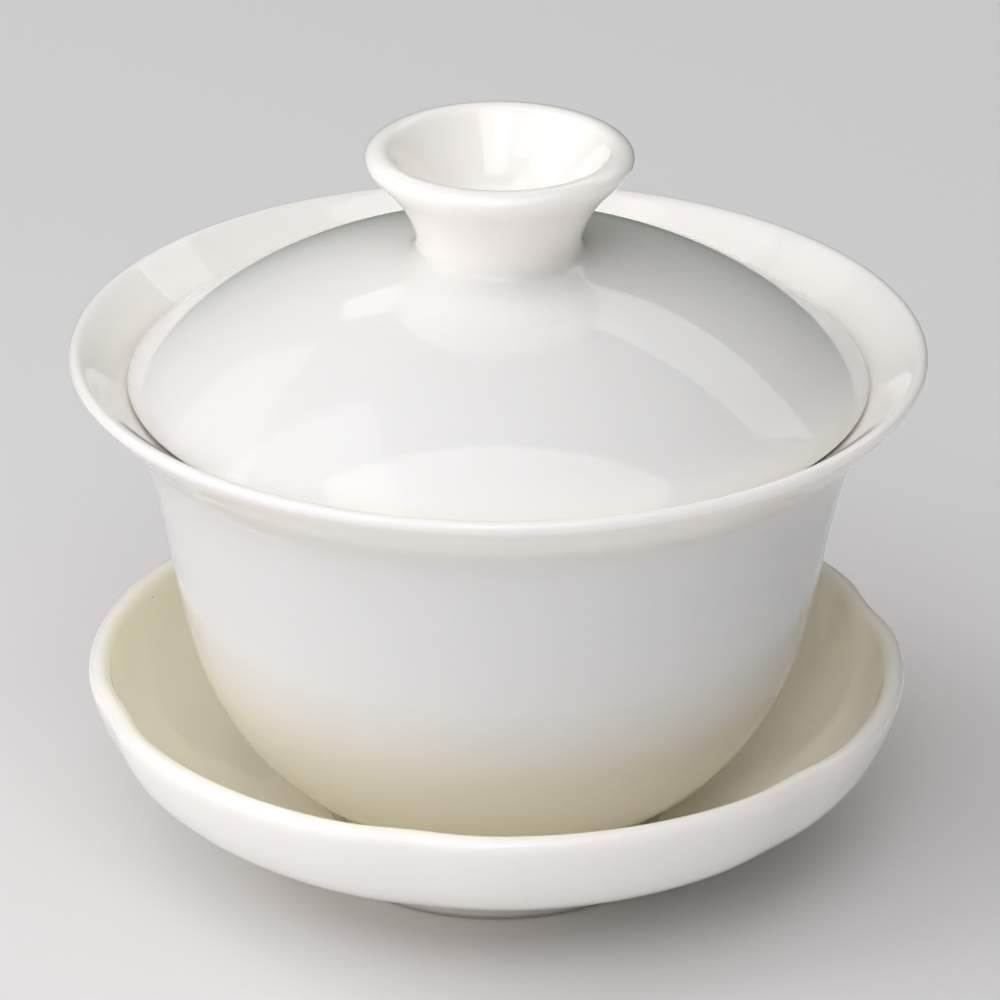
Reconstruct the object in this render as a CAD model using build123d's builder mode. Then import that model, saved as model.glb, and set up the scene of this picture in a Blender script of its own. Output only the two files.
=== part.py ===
"""Gaiwan: a lidded porcelain tea bowl on a six-lobed saucer.

Three loose pieces stand on one axis: the saucer, the bowl in the saucer's well, and the lid
on the bowl's flare. Millimetres, +Z up, origin at the middle of the saucer's foot ring.
"""
from build123d import *
from math import asin, cos, exp, pi, sin, sqrt
import os

os.makedirs("parts", exist_ok=True)

# ---------------------------------------------------------------- driving dimensions
rest_gap = 0.1             # air left between two pieces where they rest on each other

saucer_rim_radius = 48.5   # to the crown of a lobe
saucer_height = 24.4
saucer_wall = 2.7
saucer_foot_radius = 21.5
saucer_foot_width = 3.0
saucer_foot_depth = 2.2    # from the foot's face up to the glazed underside
saucer_floor = 6.0         # height of the floor around the well
well_radius = 20.4         # sunk place for the bowl's foot
well_floor = 5.4

lobe_count = 6
first_valley = 18          # degrees from +X to the first valley between two lobes
valley_depth = 0.8         # how far the rim is pressed in at a valley
valley_half_width = 5.5    # degrees

bowl_rim_radius = 50.0
bowl_rim_height = 64.6
bowl_lip = 1.7             # thickness of the rim
bowl_foot_radius = 19.4
bowl_foot_width = 3.2
bowl_foot_depth = 3.0

dome_radius = 65.7         # outside of the lid
lid_wall = 2.0
lid_rim_radius = 43.25
lid_apex = 77.0

knob_rim_radius = 15.6
knob_waist_radius = 9.5
knob_waist_height = 78.2
knob_top = 89.25
knob_lip = 3.1             # thickness of the knob's rim
knob_cup_floor = 78.6

# ---------------------------------------------------------------- saucer
# height, outer radius of each level of the wall; the inside follows at the wall's thickness
saucer_outside = [(3.0, 23.0), (6.5, 31.0), (10.5, 39.0), (14.5, 44.5), (18.5, 47.2)]
saucer_outside += [(saucer_height, saucer_rim_radius)]
saucer_inside = [(saucer_floor, 24.0), (9.5, 32.4), (13.5, 39.4), (18.0, 43.6)]
saucer_inside += [(saucer_height, saucer_rim_radius - saucer_wall)]
points_per_lobe = 12


def lobed_outline(radius, height):
    """Points of a round outline pressed in at the valleys, deeper towards the rim."""
    press = valley_depth * (height - saucer_outside[0][0]) / (saucer_height - saucer_outside[0][0])
    points = []
    for i in range(lobe_count * points_per_lobe):
        from_valley = (i % points_per_lobe) * 360 / lobe_count / points_per_lobe
        from_valley = min(from_valley, 360 / lobe_count - from_valley)
        reach = radius - press * exp(-((from_valley / valley_half_width) ** 2))
        angle = first_valley + i * 360 / lobe_count / points_per_lobe
        points.append((reach * cos(angle * pi / 180), reach * sin(angle * pi / 180)))
    return points


with BuildPart() as saucer:
    for height, radius in saucer_outside:
        with BuildSketch(Plane.XY.offset(height)):
            with BuildLine():
                Spline(*lobed_outline(radius, height), periodic=True)
            make_face()
    loft()
    for height, radius in saucer_inside:
        with BuildSketch(Plane.XY.offset(height)):
            with BuildLine():
                Spline(*lobed_outline(radius, height), periodic=True)
            make_face()
    loft(mode=Mode.SUBTRACT)
    rim = saucer.faces().sort_by(Axis.Z)[-1].edges()
    fillet(rim, saucer_wall * 0.45)
    # foot ring
    with BuildSketch():
        Circle(saucer_foot_radius)
    extrude(amount=saucer_outside[0][0] + 0.5)
    with BuildSketch():
        Circle(saucer_foot_radius - saucer_foot_width)
    extrude(amount=saucer_foot_depth, mode=Mode.SUBTRACT)
    # well
    with BuildSketch(Plane.XY.offset(well_floor)):
        Circle(well_radius)
    extrude(amount=saucer_floor, mode=Mode.SUBTRACT)
saucer.part.label = "saucer"
export_step(saucer.part, "parts/saucer.step")

# ---------------------------------------------------------------- bowl
bowl_base = well_floor + rest_gap
foot_top = bowl_base + 2.9
bowl_floor = bowl_base + bowl_foot_depth + 2.9
# radius, height along the outside, from above the foot ring up to the under side of the lip
bowl_outside = [(bowl_foot_radius + 0.4, foot_top), (26.4, 12.4), (32.5, 19.9), (36.6, 29.9)]
bowl_outside += [(39.2, 42.9), (40.3, 47.9), (43.2, 55.9)]
# the same along the inside, from the floor's edge up to the top of the lip
bowl_inside = [(16.0, bowl_floor), (23.8, 14.3), (30.1, 21.0), (34.4, 30.4)]
bowl_inside += [(37.0, 43.3), (38.1, 48.5), (41.1, 57.4)]
# the wall leaves at 45 degrees; its end, once rounded, reaches the stated radius and height
lip_middle = (bowl_rim_radius - bowl_lip / 2, bowl_rim_height - bowl_lip / 2)
bowl_outside += [(lip_middle[0] + bowl_lip * sqrt(0.5), lip_middle[1])]
bowl_inside += [(lip_middle[0], lip_middle[1] + bowl_lip * sqrt(0.5))]

with BuildPart() as bowl:
    with BuildSketch(Plane.XZ):
        with BuildLine():
            outside = Spline(*bowl_outside, tangents=[(1, 0.38), (1, 1)])
            inside = Spline(*bowl_inside, tangents=[(1, 0.06), (1, 1)])
            Polyline(
                (0, bowl_floor),
                (0, bowl_base + bowl_foot_depth),
                (bowl_foot_radius - bowl_foot_width, bowl_base + bowl_foot_depth),
                (bowl_foot_radius - bowl_foot_width, bowl_base),
                (bowl_foot_radius, bowl_base),
                outside @ 0,
            )
            Line((0, bowl_floor), inside @ 0)
            Line(outside @ 1, inside @ 1)
        make_face()
    revolve(axis=Axis.Z)
    lip = bowl.edges().filter_by(GeomType.CIRCLE).sort_by(SortBy.RADIUS)[-2:]
    fillet(lip, bowl_lip * 0.46)
bowl.part.label = "bowl"
export_step(bowl.part, "parts/bowl.step")

# ---------------------------------------------------------------- lid with its knob
dome_centre = lid_apex - dome_radius
dome_inside = dome_radius - lid_wall
dome_middle = dome_radius - lid_wall / 2
# angle from the crown to the dome's end, so that the rounded end reaches the stated radius
lip_angle = asin((lid_rim_radius - lid_wall / 2) / dome_middle) + lid_wall / 2 / dome_middle

with BuildPart() as lid:
    with BuildSketch(Plane.XZ):
        with BuildLine():
            outer_end = (dome_radius * sin(lip_angle), dome_centre + dome_radius * cos(lip_angle))
            inner_end = (dome_inside * sin(lip_angle), dome_centre + dome_inside * cos(lip_angle))
            half = lip_angle / 2
            outer_middle = (dome_radius * sin(half), dome_centre + dome_radius * cos(half))
            inner_middle = (dome_inside * sin(half), dome_centre + dome_inside * cos(half))
            ThreePointArc((0, lid_apex), outer_middle, outer_end)
            Line(outer_end, inner_end)
            ThreePointArc(inner_end, inner_middle, (0, lid_apex - lid_wall))
            Line((0, lid_apex - lid_wall), (0, lid_apex))
        make_face()
    revolve(axis=Axis.Z)
    # knob: a flared stem with a cup in its top
    with BuildSketch(Plane.XZ):
        with BuildLine():
            flare = Spline(
                (knob_waist_radius, knob_waist_height),
                (10.7, 81.4),
                (13.4, 85.1),
                (knob_rim_radius - 0.5, knob_top - 2.25),
                tangents=[(0.15, 1), (0.9, 1)],
            )
            Polyline(flare @ 0, (knob_waist_radius, lid_apex - 1.5), (0, lid_apex - 1.5))
            Line((0, lid_apex - 1.5), (0, knob_cup_floor))
            cup = Spline(
                (0, knob_cup_floor),
                (5.8, knob_cup_floor + 1.2),
                (9.2, knob_cup_floor + 5.0),
                (knob_rim_radius - knob_lip, knob_top - 0.65),
                tangents=[(1, 0), (0.5, 1)],
            )
            Spline(
                cup @ 1,
                (knob_rim_radius - 2, knob_top),
                (knob_rim_radius - 0.55, knob_top - 0.5),
                (knob_rim_radius, knob_top - 1.5),
                flare @ 1,
                tangents=[(0.5, 1), (-0.9, -1)],
            )
        make_face()
    revolve(axis=Axis.Z)
    rings = lid.edges().filter_by(GeomType.CIRCLE)
    root = rings.filter_by(lambda ring: abs(ring.radius - knob_waist_radius) < 0.01).sort_by(Axis.Z)[0]
    fillet(root, 1.6)
    rings = lid.edges().filter_by(GeomType.CIRCLE)
    outer_lip = rings.filter_by(lambda ring: abs(ring.radius - outer_end[0]) < 0.01)
    inner_lip = rings.filter_by(lambda ring: abs(ring.radius - inner_end[0]) < 0.01)
    fillet(outer_lip + inner_lip, lid_wall * 0.46)
lid.part.label = "lid"
export_step(lid.part, "parts/lid.step")
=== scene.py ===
"""Gaiwan: the saucer, bowl and lid in glazed porcelain, and the plain studio that they stand in.

Each piece is raised ring by ring from a circle, as on a wheel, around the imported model.
Lengths are metres; outlines are written in millimetres and scaled once.
"""
from math import asin, ceil, cos, degrees, hypot, pi, radians, sin

import bpy
from bpy.props import FloatProperty, FloatVectorProperty, IntProperty, PointerProperty
from mathutils import Euler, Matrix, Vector


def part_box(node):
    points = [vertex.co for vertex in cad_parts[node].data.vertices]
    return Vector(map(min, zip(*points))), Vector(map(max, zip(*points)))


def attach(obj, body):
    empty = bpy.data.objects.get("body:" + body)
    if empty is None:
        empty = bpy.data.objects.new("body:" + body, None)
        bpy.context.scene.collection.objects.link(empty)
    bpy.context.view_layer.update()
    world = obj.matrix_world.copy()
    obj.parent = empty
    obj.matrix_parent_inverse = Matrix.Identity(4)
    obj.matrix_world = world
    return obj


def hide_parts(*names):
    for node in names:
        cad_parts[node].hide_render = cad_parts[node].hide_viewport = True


bl_info = {
    "name": "Gaiwan maker",
    "version": (1, 0, 0),
    "blender": (4, 5, 0),
    "location": "3D View > Sidebar > Gaiwan",
    "description": "Throws a porcelain gaiwan: lobed saucer, flared bowl and domed lid",
    "category": "Add Mesh",
}

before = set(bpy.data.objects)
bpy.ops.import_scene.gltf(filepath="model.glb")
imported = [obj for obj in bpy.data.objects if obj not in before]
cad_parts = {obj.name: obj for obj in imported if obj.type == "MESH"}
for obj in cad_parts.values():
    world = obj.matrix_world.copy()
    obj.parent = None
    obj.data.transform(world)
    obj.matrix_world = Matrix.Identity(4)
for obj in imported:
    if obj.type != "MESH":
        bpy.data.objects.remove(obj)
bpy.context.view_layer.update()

MM = 0.001
# the middle of the saucer's wall runs from this floor up to this rim height at this radius
HOLLOW_FLOOR, HOLLOW_RIM, HOLLOW_RADIUS = 4 * MM, 23 * MM, 47 * MM
PRESSES = (1.35, 1.1, 1.0, 0.75, 0.9, 0.8)  # of each valley in turn, against the usual depth
SAUCER_LOW, SAUCER_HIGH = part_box("saucer")
BOWL_LOW, BOWL_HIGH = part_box("bowl")
LID_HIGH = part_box("lid")[1]


# ---------------------------------------------------------------- what a user may change


class ThrowingSettings(bpy.types.PropertyGroup):
    """How finely the walls are thrown, and how the saucer's rim is pressed."""

    facets: IntProperty(
        name="Facets", description="Facets around each piece before smoothing", default=96, min=24
    )
    ring_spacing: FloatProperty(
        name="Ring spacing", description="Distance between rings along a wall",
        default=2.6 * MM, unit="LENGTH", precision=4,
    )
    valleys: IntProperty(
        name="Valleys", description="Valleys pressed into the saucer's rim", default=6, min=0
    )
    first_valley: FloatProperty(
        name="First valley", description="Turn from +X to the first valley",
        default=radians(18), subtype="ANGLE",
    )
    valley_depth: FloatProperty(
        name="Valley depth", description="How far the saucer's rim is pressed in at a valley",
        default=0.8 * MM, unit="LENGTH", precision=5,
    )


class GlazeSettings(bpy.types.PropertyGroup):
    """Colours of the porcelain, and of the painted warm bounce light."""

    ivory: FloatVectorProperty(
        name="Ivory", description="Porcelain seen through thin clear glaze",
        default=(0.955, 0.916, 0.877), subtype="COLOR", min=0, max=1,
    )
    # painted warm bounce light: a creamier colour standing in for light thrown back inside hollows and
    # under the bowl
    pooled: FloatVectorProperty(
        name="Painted bounce light", description="Creamier colour of painted bounce light in hollows and low down",
        default=(0.99, 0.925, 0.775), subtype="COLOR", min=0, max=1,
    )
    biscuit: FloatVectorProperty(
        name="Biscuit", description="Bare fired clay on the foot rings",
        default=(0.70, 0.64, 0.54), subtype="COLOR", min=0, max=1,
    )
    speck: FloatVectorProperty(
        name="Speck", description="Iron specks under the glaze",
        default=(0.28, 0.20, 0.13), subtype="COLOR", min=0, max=1,
    )


class StudioSettings(bpy.types.PropertyGroup):
    """Floor and light."""

    floor: FloatVectorProperty(
        name="Floor", description="Colour of the floor",
        default=(0.76, 0.76, 0.77), subtype="COLOR", min=0, max=1,
    )
    window_power: FloatProperty(
        name="Window power", default=5.5, min=0,
        description="Power of the large window in watts; the other panels keep their share of it",
    )


# ---------------------------------------------------------------- outlines


def fair_curve(points, spacing):
    """A smooth curve through a few (radius, height) points, cut into even steps of about spacing.

    It is the cubic spline whose parameter is the distance between points."""
    n = len(points)
    gaps = [hypot(b[0] - a[0], b[1] - a[1]) for a, b in zip(points, points[1:])]
    slopes = []
    for axis in (0, 1):
        # tridiagonal equations for the slope at each point, with free ends
        low, middle, high, right = [0.0] * n, [2.0] * n, [0.0] * n, [0.0] * n
        rise = [(points[i + 1][axis] - points[i][axis]) / gaps[i] for i in range(n - 1)]
        high[0], right[0] = 1.0, 3 * rise[0]
        low[-1], right[-1] = 1.0, 3 * rise[-1]
        for i in range(1, n - 1):
            low[i], high[i] = gaps[i], gaps[i - 1]
            middle[i] = 2 * (gaps[i - 1] + gaps[i])
            right[i] = 3 * (gaps[i] * rise[i - 1] + gaps[i - 1] * rise[i])
        for i in range(1, n):
            share = low[i] / middle[i - 1]
            middle[i] -= share * high[i - 1]
            right[i] -= share * right[i - 1]
        slope = [0.0] * n
        slope[-1] = right[-1] / middle[-1]
        for i in range(n - 2, -1, -1):
            slope[i] = (right[i] - high[i] * slope[i + 1]) / middle[i]
        slopes.append(slope)
    curve = [tuple(points[0])]
    for i, gap in enumerate(gaps):
        steps = max(1, ceil(gap / spacing - 0.25))
        for k in range(1, steps + 1):
            t = k / steps
            a, b = 2 * t**3 - 3 * t**2 + 1, 3 * t**2 - 2 * t**3
            c, d = (t**3 - 2 * t**2 + t) * gap, (t**3 - t**2) * gap
            curve.append(tuple(
                a * points[i][axis] + b * points[i + 1][axis]
                + c * slopes[axis][i] + d * slopes[axis][i + 1]
                for axis in (0, 1)
            ))
    return curve


def rounded(centre, radius, start, end, count):
    """Points of a round edge about centre, from angle start to angle end in degrees."""
    angles = [radians(start + (end - start) * i / (count - 1)) for i in range(count)]
    return [(centre[0] + radius * cos(a), centre[1] + radius * sin(a)) for a in angles]


def straight(start, end, spacing):
    """Points along a straight line, its start left out."""
    steps = max(1, round(hypot(end[0] - start[0], end[1] - start[1]) / spacing))
    return [
        (start[0] + (end[0] - start[0]) * i / steps, start[1] + (end[1] - start[1]) * i / steps)
        for i in range(1, steps + 1)
    ]


def foot_ring(outer, inner, base, recess, edge):
    """From the middle of a foot's recess, over its ring, to the top of its outer side."""
    ceiling = base + recess
    outline = [(inner * 0.35, ceiling), (inner * 0.6, ceiling), (inner * 0.85, ceiling)]
    outline += rounded((inner - 2 * edge, ceiling - 2 * edge), 2 * edge, 90, 8, 5)
    outline += rounded((inner + edge, base + edge), edge, 180, 270, 4)
    outline += rounded((outer - edge, base + edge), edge, 270, 352, 4)
    return outline


# ---------------------------------------------------------------- throwing


def throw(name, outline, facets, first_angle=0.0):
    """Raise a closed piece ring by ring from the middle of its underside to the middle of its top."""
    bpy.ops.object.select_all(action="DESELECT")
    radius, height = outline[0]
    bpy.ops.mesh.primitive_circle_add(
        vertices=facets, radius=radius, location=(0, 0, height), rotation=(0, 0, first_angle)
    )
    piece = bpy.context.object
    piece.name = piece.data.name = name
    bpy.ops.object.transform_apply(location=True, rotation=True, scale=True)
    bpy.ops.object.mode_set(mode="EDIT")
    for wider, higher in outline[1:]:
        bpy.ops.mesh.extrude_region_move(
            TRANSFORM_OT_translate={"value": (0, 0, higher - height)}
        )
        bpy.ops.transform.resize(
            value=(wider / radius, wider / radius, 1), center_override=(0, 0, higher)
        )
        radius, height = wider, higher
    for end, beside in ((outline[-1], outline[-2]), (outline[0], outline[1])):
        close_middle(piece, *end, (end[1] - beside[1]) / (end[0] - beside[0]))
    bpy.ops.mesh.select_all(action="SELECT")
    bpy.ops.mesh.normals_make_consistent(inside=False)
    bpy.ops.object.mode_set(mode="OBJECT")
    return piece


def close_middle(piece, ring, level, slope):
    """Close the open ring of that radius and height with a grid, dished to run on from the wall."""
    bpy.ops.object.mode_set(mode="OBJECT")
    mesh = piece.data
    near = 0.02 * MM
    for vertex in mesh.vertices:
        x, y, z = vertex.co
        vertex.select = abs(hypot(x, y) - ring) < near and abs(z - level) < near
    count = sum(vertex.select for vertex in mesh.vertices)
    before = len(mesh.vertices)
    for part in (mesh.edges, mesh.polygons):
        for item in part:
            item.select = False
    for edge in mesh.edges:
        edge.select = all(mesh.vertices[i].select for i in edge.vertices)
    bpy.ops.object.mode_set(mode="EDIT")
    bpy.ops.mesh.fill_grid(span=count // 4)
    bpy.ops.object.mode_set(mode="OBJECT")
    for vertex in mesh.vertices[before:]:
        reach = hypot(vertex.co.x, vertex.co.y) / ring
        vertex.co.z = level - slope * ring / 2 * (1 - reach * reach)
    bpy.ops.object.mode_set(mode="EDIT")


def finish_piece(piece, body, node, material):
    """Smooth the piece, glaze it and hand it to its body."""
    bpy.ops.object.select_all(action="DESELECT")
    bpy.context.view_layer.objects.active = piece
    piece.select_set(True)
    smoothing = piece.modifiers.new("Smoothing", "SUBSURF")
    smoothing.levels = smoothing.render_levels = 1
    bpy.ops.object.modifier_apply(modifier=smoothing.name)
    bpy.ops.object.shade_smooth()
    piece.data.materials.append(material)
    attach(piece, body)
    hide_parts(node)


def press_valley(piece, angle, above, depth, reach):
    """Press the wall in along one upright line, as a thumb does, above a height."""
    bpy.ops.object.select_all(action="DESELECT")
    bpy.context.view_layer.objects.active = piece
    piece.select_set(True)
    mesh = piece.data
    outward = Vector((cos(angle), sin(angle), 0))
    for part in (mesh.edges, mesh.polygons):
        for item in part:
            item.select = False
    for vertex in mesh.vertices:
        x, y, z = vertex.co
        beside = abs(x * outward.y - y * outward.x)
        vertex.select = z > above and beside < 0.2 * MM and vertex.co.dot(outward) > 0
    bpy.ops.object.mode_set(mode="EDIT")
    bpy.ops.transform.translate(
        value=outward * -depth, use_proportional_edit=True,
        proportional_edit_falloff="SMOOTH", proportional_size=reach,
    )
    bpy.ops.object.mode_set(mode="OBJECT")


# ---------------------------------------------------------------- glaze


def new_group(name, inputs, outputs):
    """An empty shader node group with the sockets asked for, and its ends."""
    group = bpy.data.node_groups.new(name, "ShaderNodeTree")
    for label, kind, default in inputs:
        socket = group.interface.new_socket(label, in_out="INPUT", socket_type=kind)
        socket.default_value = default
    for label, kind in outputs:
        group.interface.new_socket(label, in_out="OUTPUT", socket_type=kind)
    return group, group.nodes.new("NodeGroupInput"), group.nodes.new("NodeGroupOutput")


def maths(tree, operation, a, b=None, clamp=False):
    """A Math node; a and b are sockets or plain numbers."""
    node = tree.nodes.new("ShaderNodeMath")
    node.operation = operation
    node.use_clamp = clamp
    for socket, value in zip(node.inputs, (a, b)):
        if isinstance(value, bpy.types.NodeSocket):
            tree.links.new(value, socket)
        elif value is not None:
            socket.default_value = value
    return node.outputs[0]


def blend_colours(tree, share, a, b):
    """A colour mix; share, a and b are sockets."""
    node = tree.nodes.new("ShaderNodeMix")
    node.data_type = "RGBA"
    tree.links.new(share, node.inputs["Factor"])
    tree.links.new(a, node.inputs[6])
    tree.links.new(b, node.inputs[7])
    return node.outputs[2]


def noise(tree, place, scale, detail=2.0):
    """A noise value that reads the place given."""
    node = tree.nodes.new("ShaderNodeTexNoise")
    node.inputs["Scale"].default_value = scale
    node.inputs["Detail"].default_value = detail
    tree.links.new(place, node.inputs["Vector"])
    return node.outputs["Fac"]


def glaze_group():
    """Ivory under clear glaze with rare iron specks and a faint ripple, creamier with painted warm
    bounce light low down and in hollows.
    """
    group, start, end = new_group(
        "Clear glaze",
        [
            ("Place", "NodeSocketVector", (0, 0, 0)),
            ("Ivory", "NodeSocketColor", (1, 1, 1, 1)),
            ("Painted bounce", "NodeSocketColor", (1, 1, 1, 1)),
            ("Speck", "NodeSocketColor", (0, 0, 0, 1)),
            ("Painted bounce top", "NodeSocketFloat", 0.0),
            ("Painted bounce bottom", "NodeSocketFloat", 0.0),
            ("Hollow", "NodeSocketFloat", 0.0),
        ],
        [("Colour", "NodeSocketColor"), ("Roughness", "NodeSocketFloat"), ("Ripple", "NodeSocketFloat")],
    )
    place = start.outputs["Place"]
    parts = group.nodes.new("ShaderNodeSeparateXYZ")
    group.links.new(place, parts.inputs[0])
    # painted warm bounce light: from nothing at its top height to full at its bottom height, with an
    # uneven edge
    drift = maths(group, "SUBTRACT", noise(group, place, 45), 0.5)
    drift = maths(group, "MULTIPLY", drift, 6 * MM)
    height = maths(group, "ADD", parts.outputs["Z"], drift)
    pool = group.nodes.new("ShaderNodeMapRange")
    pool.interpolation_type = "SMOOTHERSTEP"
    group.links.new(height, pool.inputs["Value"])
    group.links.new(start.outputs["Painted bounce top"], pool.inputs["From Min"])
    group.links.new(start.outputs["Painted bounce bottom"], pool.inputs["From Max"])
    # painted warm bounce light fills an open hollow all over its inside, which lies above the middle of
    # its curved wall
    square = maths(group, "ADD", maths(group, "POWER", parts.outputs["X"], 2.0),
                   maths(group, "POWER", parts.outputs["Y"], 2.0))
    wall = maths(group, "POWER", maths(group, "DIVIDE", square, HOLLOW_RADIUS**2), 2.5)
    wall = maths(group, "MULTIPLY", wall, HOLLOW_RIM - HOLLOW_FLOOR)
    wall = maths(group, "ADD", wall, HOLLOW_FLOOR)
    above = maths(group, "SUBTRACT", parts.outputs["Z"], wall)
    inside = maths(group, "MULTIPLY", above, 700.0, clamp=True)  # full 1.4 mm above the wall's middle
    inside = maths(group, "MULTIPLY", inside, start.outputs["Hollow"])
    pooled = maths(group, "MAXIMUM", pool.outputs[0], inside)
    cloud = maths(group, "MULTIPLY", noise(group, place, 110, 4), 0.12)
    share = maths(group, "ADD", pooled, maths(group, "SUBTRACT", cloud, 0.06), clamp=True)
    # blend the painted warm bounce light into the ivory
    colour = blend_colours(group, share, start.outputs["Ivory"], start.outputs["Painted bounce"])
    # specks: the middles of one cell in fourteen
    cells = group.nodes.new("ShaderNodeTexVoronoi")
    cells.inputs["Scale"].default_value = 120
    group.links.new(place, cells.inputs["Vector"])
    lottery = group.nodes.new("ShaderNodeSeparateColor")
    group.links.new(cells.outputs["Color"], lottery.inputs[0])
    chosen = maths(group, "GREATER_THAN", lottery.outputs[0], 0.93)
    dot = group.nodes.new("ShaderNodeMapRange")
    group.links.new(cells.outputs["Distance"], dot.inputs["Value"])
    dot.inputs["From Min"].default_value = 0.022
    dot.inputs["From Max"].default_value = 0.012
    speck = maths(group, "MULTIPLY", maths(group, "MULTIPLY", chosen, dot.outputs[0]), 0.7)
    colour = blend_colours(group, speck, colour, start.outputs["Speck"])
    group.links.new(colour, end.inputs["Colour"])
    # the glaze is glossy all over, with faint dull patches
    dull = maths(group, "MULTIPLY", noise(group, place, 160, 5), 0.05)
    group.links.new(maths(group, "ADD", dull, 0.02), end.inputs["Roughness"])
    broad = noise(group, place, 55, 1)
    fine = maths(group, "MULTIPLY", noise(group, place, 420, 2), 0.05)
    group.links.new(maths(group, "ADD", broad, fine), end.inputs["Ripple"])
    return group


def foot_group():
    """Bare clay below a height: a mask with a slightly uneven edge, grain and its roughness."""
    group, start, end = new_group(
        "Bare foot",
        [
            ("Place", "NodeSocketVector", (0, 0, 0)),
            ("Glaze line", "NodeSocketFloat", 0.0),
            ("Glazed colour", "NodeSocketColor", (1, 1, 1, 1)),
            ("Glazed roughness", "NodeSocketFloat", 0.0),
            ("Biscuit", "NodeSocketColor", (1, 1, 1, 1)),
        ],
        [("Colour", "NodeSocketColor"), ("Roughness", "NodeSocketFloat"), ("Grain", "NodeSocketFloat")],
    )
    place = start.outputs["Place"]
    parts = group.nodes.new("ShaderNodeSeparateXYZ")
    group.links.new(place, parts.inputs[0])
    drift = maths(group, "SUBTRACT", noise(group, place, 300), 0.5)
    drift = maths(group, "MULTIPLY", drift, 0.3 * MM)
    height = maths(group, "ADD", parts.outputs["Z"], drift)
    above = maths(group, "SUBTRACT", height, start.outputs["Glaze line"])
    # the glaze is whole 0.1 mm above its line
    bare = maths(group, "SUBTRACT", 1.0, maths(group, "MULTIPLY", above, 9000.0, clamp=True))
    grain = noise(group, place, 2200, 3)
    clay = group.nodes.new("ShaderNodeHueSaturation")
    group.links.new(start.outputs["Biscuit"], clay.inputs["Color"])
    shade = maths(group, "ADD", maths(group, "MULTIPLY", grain, 0.3), 0.85)
    group.links.new(shade, clay.inputs["Value"])
    group.links.new(
        blend_colours(group, bare, start.outputs["Glazed colour"], clay.outputs[0]), end.inputs["Colour"]
    )
    rough = group.nodes.new("ShaderNodeMix")
    group.links.new(bare, rough.inputs["Factor"])
    group.links.new(start.outputs["Glazed roughness"], rough.inputs["A"])
    rough.inputs["B"].default_value = 0.8
    group.links.new(rough.outputs[0], end.inputs["Roughness"])
    group.links.new(maths(group, "MULTIPLY", grain, bare), end.inputs["Grain"])
    return group


def porcelain(name, pool_top, pool_bottom, glaze_line, hollow=0.0):
    """The porcelain of one piece; heights say where painted warm bounce light creams it and where its
    foot is bare.
    """
    colours = bpy.context.scene.gaiwan_glaze
    material = bpy.data.materials.new(name)
    material.use_nodes = True
    tree = material.node_tree
    shader = tree.nodes["Principled BSDF"]
    place = tree.nodes.new("ShaderNodeTexCoord").outputs["Object"]
    glaze = tree.nodes.new("ShaderNodeGroup")
    glaze.node_tree = bpy.data.node_groups.get("Clear glaze") or glaze_group()
    tree.links.new(place, glaze.inputs["Place"])
    glaze.inputs["Ivory"].default_value = (*colours.ivory, 1)
    glaze.inputs["Painted bounce"].default_value = (*colours.pooled, 1)
    glaze.inputs["Speck"].default_value = (*colours.speck, 1)
    # heights of the painted warm bounce light, and whether it fills the hollow
    glaze.inputs["Painted bounce top"].default_value = pool_top
    glaze.inputs["Painted bounce bottom"].default_value = pool_bottom
    glaze.inputs["Hollow"].default_value = hollow
    foot = tree.nodes.new("ShaderNodeGroup")
    foot.node_tree = bpy.data.node_groups.get("Bare foot") or foot_group()
    tree.links.new(place, foot.inputs["Place"])
    foot.inputs["Glaze line"].default_value = glaze_line
    foot.inputs["Biscuit"].default_value = (*colours.biscuit, 1)
    tree.links.new(glaze.outputs["Colour"], foot.inputs["Glazed colour"])
    tree.links.new(glaze.outputs["Roughness"], foot.inputs["Glazed roughness"])
    tree.links.new(foot.outputs["Colour"], shader.inputs["Base Color"])
    tree.links.new(foot.outputs["Roughness"], shader.inputs["Roughness"])
    ripple = tree.nodes.new("ShaderNodeBump")
    ripple.inputs["Distance"].default_value = 0.06 * MM
    tree.links.new(glaze.outputs["Ripple"], ripple.inputs["Height"])
    grain = tree.nodes.new("ShaderNodeBump")
    grain.inputs["Distance"].default_value = 0.05 * MM
    tree.links.new(foot.outputs["Grain"], grain.inputs["Height"])
    tree.links.new(ripple.outputs["Normal"], grain.inputs["Normal"])
    tree.links.new(grain.outputs["Normal"], shader.inputs["Normal"])
    shader.inputs["IOR"].default_value = 1.5
    shader.inputs["Subsurface Weight"].default_value = 0.8
    shader.inputs["Subsurface Radius"].default_value = (1.0, 0.92, 0.82)
    shader.inputs["Subsurface Scale"].default_value = 5.0 * MM
    return material


# ---------------------------------------------------------------- one operator per piece


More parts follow.
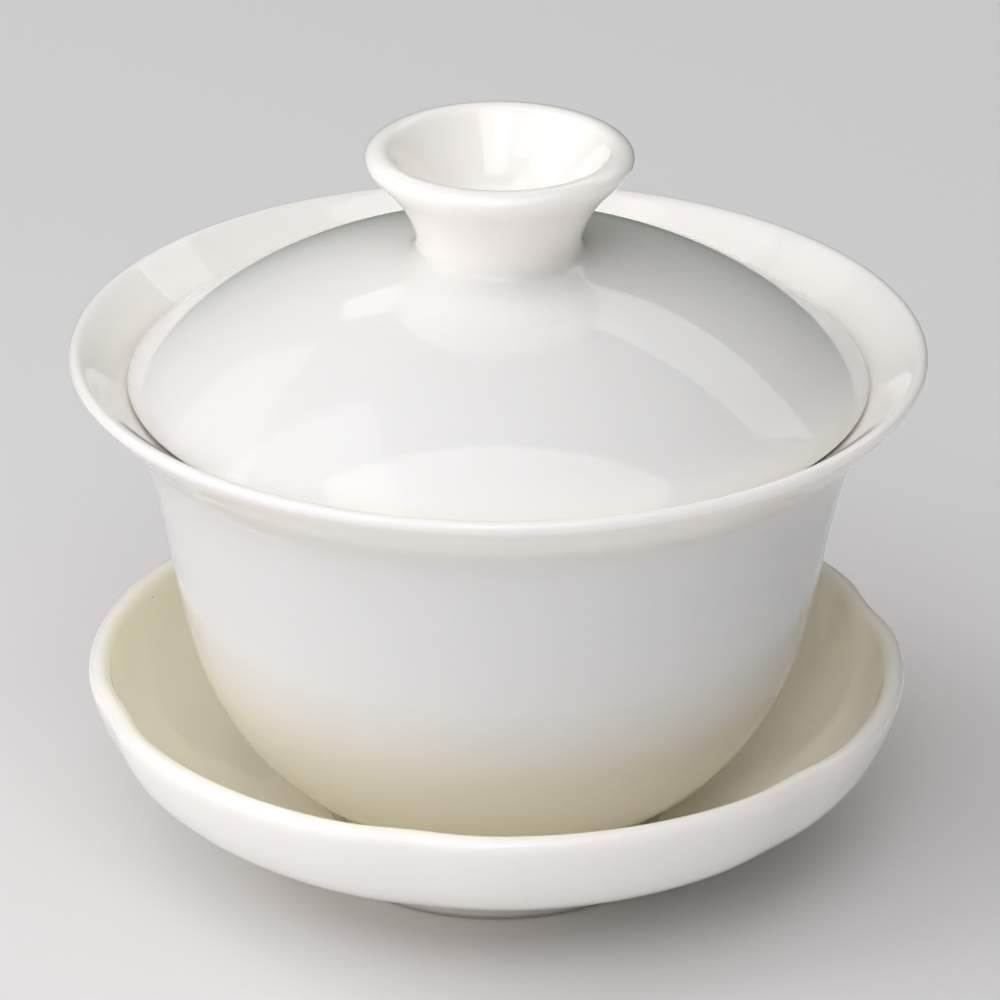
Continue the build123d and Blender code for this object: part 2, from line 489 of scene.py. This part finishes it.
class GAIWAN_OT_saucer(bpy.types.Operator):
    """Throw the saucer and press the valleys into its rim"""

    bl_idname = "gaiwan.saucer"
    bl_label = "Saucer"

    def execute(self, context):
        throwing = context.scene.gaiwan_throwing
        spacing = throwing.ring_spacing / MM
        base, top = SAUCER_LOW.z / MM, SAUCER_HIGH.z / MM
        rim = SAUCER_HIGH.x / MM + 0.1
        lip, well, well_floor = 1.32, 20.4, base + 5.4
        outline = foot_ring(21.5, 18.5, base, 2.2, 0.45)
        lip_middle = (rim - lip, top - lip)
        wall = [(21.6, 2.7), (22.6, 3.5), (26.2, 4.5), (31.2, 6.7), (39.0, 10.6), (44.4, 14.5)]
        wall += [(47.1, 18.6), (48.1, 21.3)]
        wall += rounded(lip_middle, lip, -4, 184, 9)
        wall += [(45.3, 21.2), (43.9, 18.2), (40.0, 13.9), (33.0, 9.7), (25.2, 6.5)]
        wall += [(well + 1.3, well_floor + 0.75), (well + 0.4, well_floor + 0.58)]
        outline += fair_curve(wall, spacing)
        outline += rounded((well - 0.5, well_floor + 0.5), 0.5, 0, -90, 3)
        outline += straight(outline[-1], (well * 0.3, well_floor), spacing * 1.5)
        piece = throw("saucer_shell", [(r * MM, z * MM) for r, z in outline],
                      throwing.facets, throwing.first_valley)
        for i in range(throwing.valleys):
            angle = throwing.first_valley + 2 * pi * i / throwing.valleys
            # a thumb never presses twice alike
            depth = throwing.valley_depth * PRESSES[i % len(PRESSES)]
            # three strokes, each from lower down, so that the valley fades towards the foot
            for above, share in ((20.5, 0.4), (13.0, 0.35), (7.0, 0.25)):
                press_valley(piece, angle, above * MM, share * depth, 8 * MM)
        # painted warm bounce light under the saucer and all over its hollow, where light thrown between
        # saucer and bowl warms the white
        glazed = porcelain("Saucer porcelain", pool_top=9 * MM, pool_bottom=2 * MM,
                           glaze_line=0.5 * MM, hollow=1.0)
        finish_piece(piece, "saucer", "saucer", glazed)
        return {"FINISHED"}


class GAIWAN_OT_bowl(bpy.types.Operator):
    """Throw the bowl with its flared rim"""

    bl_idname = "gaiwan.bowl"
    bl_label = "Bowl"

    def execute(self, context):
        throwing = context.scene.gaiwan_throwing
        spacing = throwing.ring_spacing / MM
        base, top = BOWL_LOW.z / MM, BOWL_HIGH.z / MM
        rim, lip = BOWL_HIGH.x / MM, 0.82
        foot = foot_ring(19.4, 16.2, base, 3.0, 0.45)
        wall = [(19.5, base + 2.1), (20.2, base + 3.0), (23.2, 10.3), (26.4, 12.4), (29.9, 16.0)]
        wall += [(32.6, 19.9), (35.1, 24.9), (36.85, 30.9), (38.1, 36.9), (39.2, 42.9)]
        wall += [(40.25, 47.9), (41.3, 51.9), (43.2, 56.0), (45.6, 58.95)]
        wall += rounded((rim - lip, top - lip), lip, -45, 135, 7)
        wall += [(45.7, 61.9), (43.25, 60.12), (41.4, 58.35), (40.05, 55.6), (38.85, 51.4)]
        wall += [(37.7, 45.4), (36.3, 38.4), (34.6, 30.8), (31.8, 23.6), (27.6, 17.8), (22.0, 13.3)]
        wall += [(15.8, 11.5), (10.0, 11.3)]
        outline = foot + fair_curve(wall, spacing)
        piece = throw("bowl_shell", [(r * MM, z * MM) for r, z in outline], throwing.facets)
        # painted warm bounce light on the lower bowl, inside and out: none above 42 mm, full below 19 mm
        glazed = porcelain("Bowl porcelain", pool_top=42 * MM, pool_bottom=19 * MM,
                           glaze_line=BOWL_LOW.z + 0.5 * MM)
        finish_piece(piece, "bowl", "bowl", glazed)
        return {"FINISHED"}


class GAIWAN_OT_lid(bpy.types.Operator):
    """Throw the lid: its dome, and the knob with its cup"""

    bl_idname = "gaiwan.lid"
    bl_label = "Lid"

    def execute(self, context):
        throwing = context.scene.gaiwan_throwing
        spacing = throwing.ring_spacing / MM
        top = LID_HIGH.z / MM
        edge = LID_HIGH.x / MM
        apex, dome, wall = 77.0, 65.7, 2.0
        centre = apex - dome
        end = degrees(asin((edge - 0.45) / dome))
        # both faces of the dome are arcs about its centre, and 90 degrees is the crown
        inside = rounded((0, centre), dome - wall, 84, 91.6 - end, 17)
        # the edge is cut to lie along the bowl's flare
        lip = [(41.3, 59.32), (41.75, 59.2), (42.2, 59.48), (42.7, 59.88), (43.15, 60.24)]
        lip += [(edge + 0.03, 60.45), (43.18, 60.72)]
        outside = rounded((0, centre), dome, 90 - end, 80.4, 14)
        knob = [(10.2, 76.48), (9.75, 77.05), (9.6, 78.0), (9.75, 79.1), (10.25, 80.4), (11.05, 82.0)]
        knob += [(12.1, 83.6), (13.6, 85.3), (14.8, 86.55)]
        # the knob's rim is thick and highest towards its cup
        knob += [(15.4, top - 1.9), (15.62, top - 1.35), (15.45, top - 0.8), (15.0, top - 0.4)]
        knob += [(14.35, top - 0.1), (13.6, top), (12.95, top - 0.14), (12.5, top - 0.55)]
        knob += [(12.1, top - 1.2)]
        cup = [(11.3, 86.9), (10.0, 84.9), (8.3, 82.7), (6.2, 80.6), (4.0, 79.4), (2.6, 78.9)]
        cup += [(1.7, 78.7)]
        outline = inside + lip + outside + fair_curve(knob + cup, spacing * 0.55)
        piece = throw("lid_shell", [(r * MM, z * MM) for r, z in outline], throwing.facets)
        # the lid is glazed all over; painted warm bounce light creams its edge, where it sits in the
        # bowl
        glazed = porcelain("Lid porcelain", pool_top=63 * MM, pool_bottom=59.5 * MM, glaze_line=0.0)
        finish_piece(piece, "lid", "lid", glazed)
        return {"FINISHED"}


class GAIWAN_OT_studio(bpy.types.Operator):
    """Lay the floor, hang the lights and place the camera"""

    bl_idname = "gaiwan.studio"
    bl_label = "Studio"

    def execute(self, context):
        studio = context.scene.gaiwan_studio
        lay_floor(studio)
        hang_screen()
        hang_lights(studio)
        place_camera()
        context.scene.view_settings.view_transform = "Standard"
        return {"FINISHED"}


# ---------------------------------------------------------------- studio


def lay_floor(studio):
    """A wide pale floor under the saucer's foot."""
    bpy.ops.object.select_all(action="DESELECT")
    bpy.ops.mesh.primitive_plane_add(size=3.4, location=(0, 0, SAUCER_LOW.z))
    floor = bpy.context.object
    floor.name = "floor"
    bpy.ops.object.transform_apply(location=True, rotation=True, scale=True)
    material = bpy.data.materials.new("Pale cloth")
    material.use_nodes = True
    shader = material.node_tree.nodes["Principled BSDF"]
    shader.inputs["Base Color"].default_value = (*studio.floor, 1)
    shader.inputs["Roughness"].default_value = 0.8
    floor.data.materials.append(material)


def hang_screen():
    """A dark screen close behind, which shows only as a reflection in the glaze."""
    bpy.ops.object.select_all(action="DESELECT")
    bpy.ops.mesh.primitive_plane_add(size=1, location=(0, 0.17, 0.105), rotation=(radians(90), 0, 0))
    screen = bpy.context.object
    screen.name = "screen"
    bpy.ops.transform.resize(value=(0.9, 1, 0.2))
    bpy.ops.object.transform_apply(location=True, rotation=True, scale=True)
    material = bpy.data.materials.new("Dark green cloth")
    material.use_nodes = True
    shader = material.node_tree.nodes["Principled BSDF"]
    shader.inputs["Base Color"].default_value = (0.045, 0.07, 0.03, 1)
    shader.inputs["Roughness"].default_value = 1.0
    screen.data.materials.append(material)
    screen.visible_camera = screen.visible_diffuse = screen.visible_shadow = False


def soft_light(name, place, aim, size, power, colour):
    """A soft light panel of that width and depth, which the camera doesn't see."""
    light = bpy.data.lights.new(name, "AREA")
    light.shape = "RECTANGLE"
    light.size, light.size_y = size
    light.energy = power
    light.color = colour
    lamp = bpy.data.objects.new(name, light)
    bpy.context.scene.collection.objects.link(lamp)
    lamp.location = place
    lamp.rotation_euler = (Vector(aim) - Vector(place)).to_track_quat("-Z", "Y").to_euler()
    lamp.visible_camera = False


def hang_lights(studio):
    """Windows on the left, a panel in front, a bright wall behind, a ceiling and the room itself."""
    aim = (0, 0, 0.04)
    power = studio.window_power
    soft_light("Window", (-1.12, -0.3, 0.52), aim, (1.2, 1.2), power, (1.0, 0.965, 0.91))
    soft_light("High window", (-0.85, -0.1, 1.1), aim, (1.0, 1.0), power * 0.47, (1.0, 0.99, 0.97))
    soft_light("Rear window", (-0.95, 0.62, 0.7), aim, (0.8, 0.8), power * 0.21, (1.0, 1.0, 0.88))
    soft_light("Near window", (-0.4, -1.1, 0.8), aim, (0.9, 0.9), power * 0.68, (1.0, 0.985, 1.0))
    soft_light("Front panel", (0.1, -0.85, 1.0), aim, (0.6, 0.6), power * 0.5, (1.0, 0.97, 0.92))
    soft_light("Far wall", (0.25, 0.8, 0.84), aim, (1.4, 0.32), power * 0.28, (0.98, 1.0, 0.95))
    overhead, below = (0.0, -0.18, 1.05), (0.0, -0.18, 0.0)
    soft_light("Ceiling", overhead, below, (1.2, 0.36), power * 0.4, (1.0, 0.95, 0.9))
    world = bpy.data.worlds.new("Room")
    bpy.context.scene.world = world
    world.use_nodes = True
    tree = world.node_tree
    background = tree.nodes["Background"]
    # a pale ceiling, brightest towards the window, over a dark room
    towards_window = tree.nodes.new("ShaderNodeVectorMath")
    towards_window.operation = "DOT_PRODUCT"
    towards_window.inputs[1].default_value = Vector((-0.5, -0.7, 0.5)).normalized()
    tree.links.new(tree.nodes.new("ShaderNodeTexCoord").outputs["Generated"], towards_window.inputs[0])
    ramp = tree.nodes.new("ShaderNodeValToRGB")
    shades = (
        (0.0, (0.18, 0.18, 0.17, 1)),
        (0.2, (0.28, 0.29, 0.29, 1)),
        (0.6, (0.87, 0.87, 0.97, 1)),
    )
    while len(ramp.color_ramp.elements) < len(shades):
        ramp.color_ramp.elements.new(0.5)
    for stop, (position, shade) in zip(ramp.color_ramp.elements, shades):
        stop.position, stop.color = position, shade
    tree.links.new(towards_window.outputs["Value"], ramp.inputs["Fac"])
    path = tree.nodes.new("ShaderNodeLightPath")
    mix = tree.nodes.new("ShaderNodeMix")
    mix.data_type = "RGBA"
    tree.links.new(path.outputs["Is Camera Ray"], mix.inputs["Factor"])
    tree.links.new(ramp.outputs["Color"], mix.inputs[6])
    mix.inputs[7].default_value = (0.55, 0.56, 0.56, 1)
    tree.links.new(mix.outputs[2], background.inputs["Color"])
    background.inputs["Strength"].default_value = 0.44


def place_camera():
    """A long lens a little above the rim, looking down at the bowl's axis."""
    sensor, tilt, roll = 36.0, radians(90 - 24.9), radians(0.29)
    camera = bpy.data.cameras.new("Camera")
    camera.sensor_width = sensor
    camera.lens = 7.0 * sensor
    seat = bpy.data.objects.new("Camera", camera)
    bpy.context.scene.collection.objects.link(seat)
    seat.location = (0.27 * MM, -746.4 * MM, 390.9 * MM)
    turn = Euler((tilt, 0, 0)).to_matrix() @ Euler((0, 0, roll)).to_matrix()
    seat.rotation_euler = turn.to_euler()
    bpy.context.scene.camera = seat


# ---------------------------------------------------------------- add-on


class GAIWAN_PT_panel(bpy.types.Panel):
    """Every step of the gaiwan, in order"""

    bl_idname = "GAIWAN_PT_panel"
    bl_label = "Gaiwan"
    bl_space_type = "VIEW_3D"
    bl_region_type = "UI"
    bl_category = "Gaiwan"

    def draw(self, context):
        scene = context.scene
        for settings in (scene.gaiwan_throwing, scene.gaiwan_glaze, scene.gaiwan_studio):
            box = self.layout.box()
            for name in settings.__annotations__:
                box.prop(settings, name)
        for operator in OPERATORS:
            self.layout.operator(operator.bl_idname)


OPERATORS = (GAIWAN_OT_studio, GAIWAN_OT_saucer, GAIWAN_OT_bowl, GAIWAN_OT_lid)
CLASSES = (ThrowingSettings, GlazeSettings, StudioSettings, *OPERATORS, GAIWAN_PT_panel)


def register():
    for kind in CLASSES:
        bpy.utils.register_class(kind)
    bpy.types.Scene.gaiwan_throwing = PointerProperty(type=ThrowingSettings)
    bpy.types.Scene.gaiwan_glaze = PointerProperty(type=GlazeSettings)
    bpy.types.Scene.gaiwan_studio = PointerProperty(type=StudioSettings)


def unregister():
    del bpy.types.Scene.gaiwan_throwing
    del bpy.types.Scene.gaiwan_glaze
    del bpy.types.Scene.gaiwan_studio
    for kind in reversed(CLASSES):
        bpy.utils.unregister_class(kind)


def main():
    """Make the gaiwan in its studio."""
    register()
    bpy.ops.gaiwan.studio()
    bpy.ops.gaiwan.saucer()
    bpy.ops.gaiwan.bowl()
    bpy.ops.gaiwan.lid()


if __name__ == "__main__":
    main()
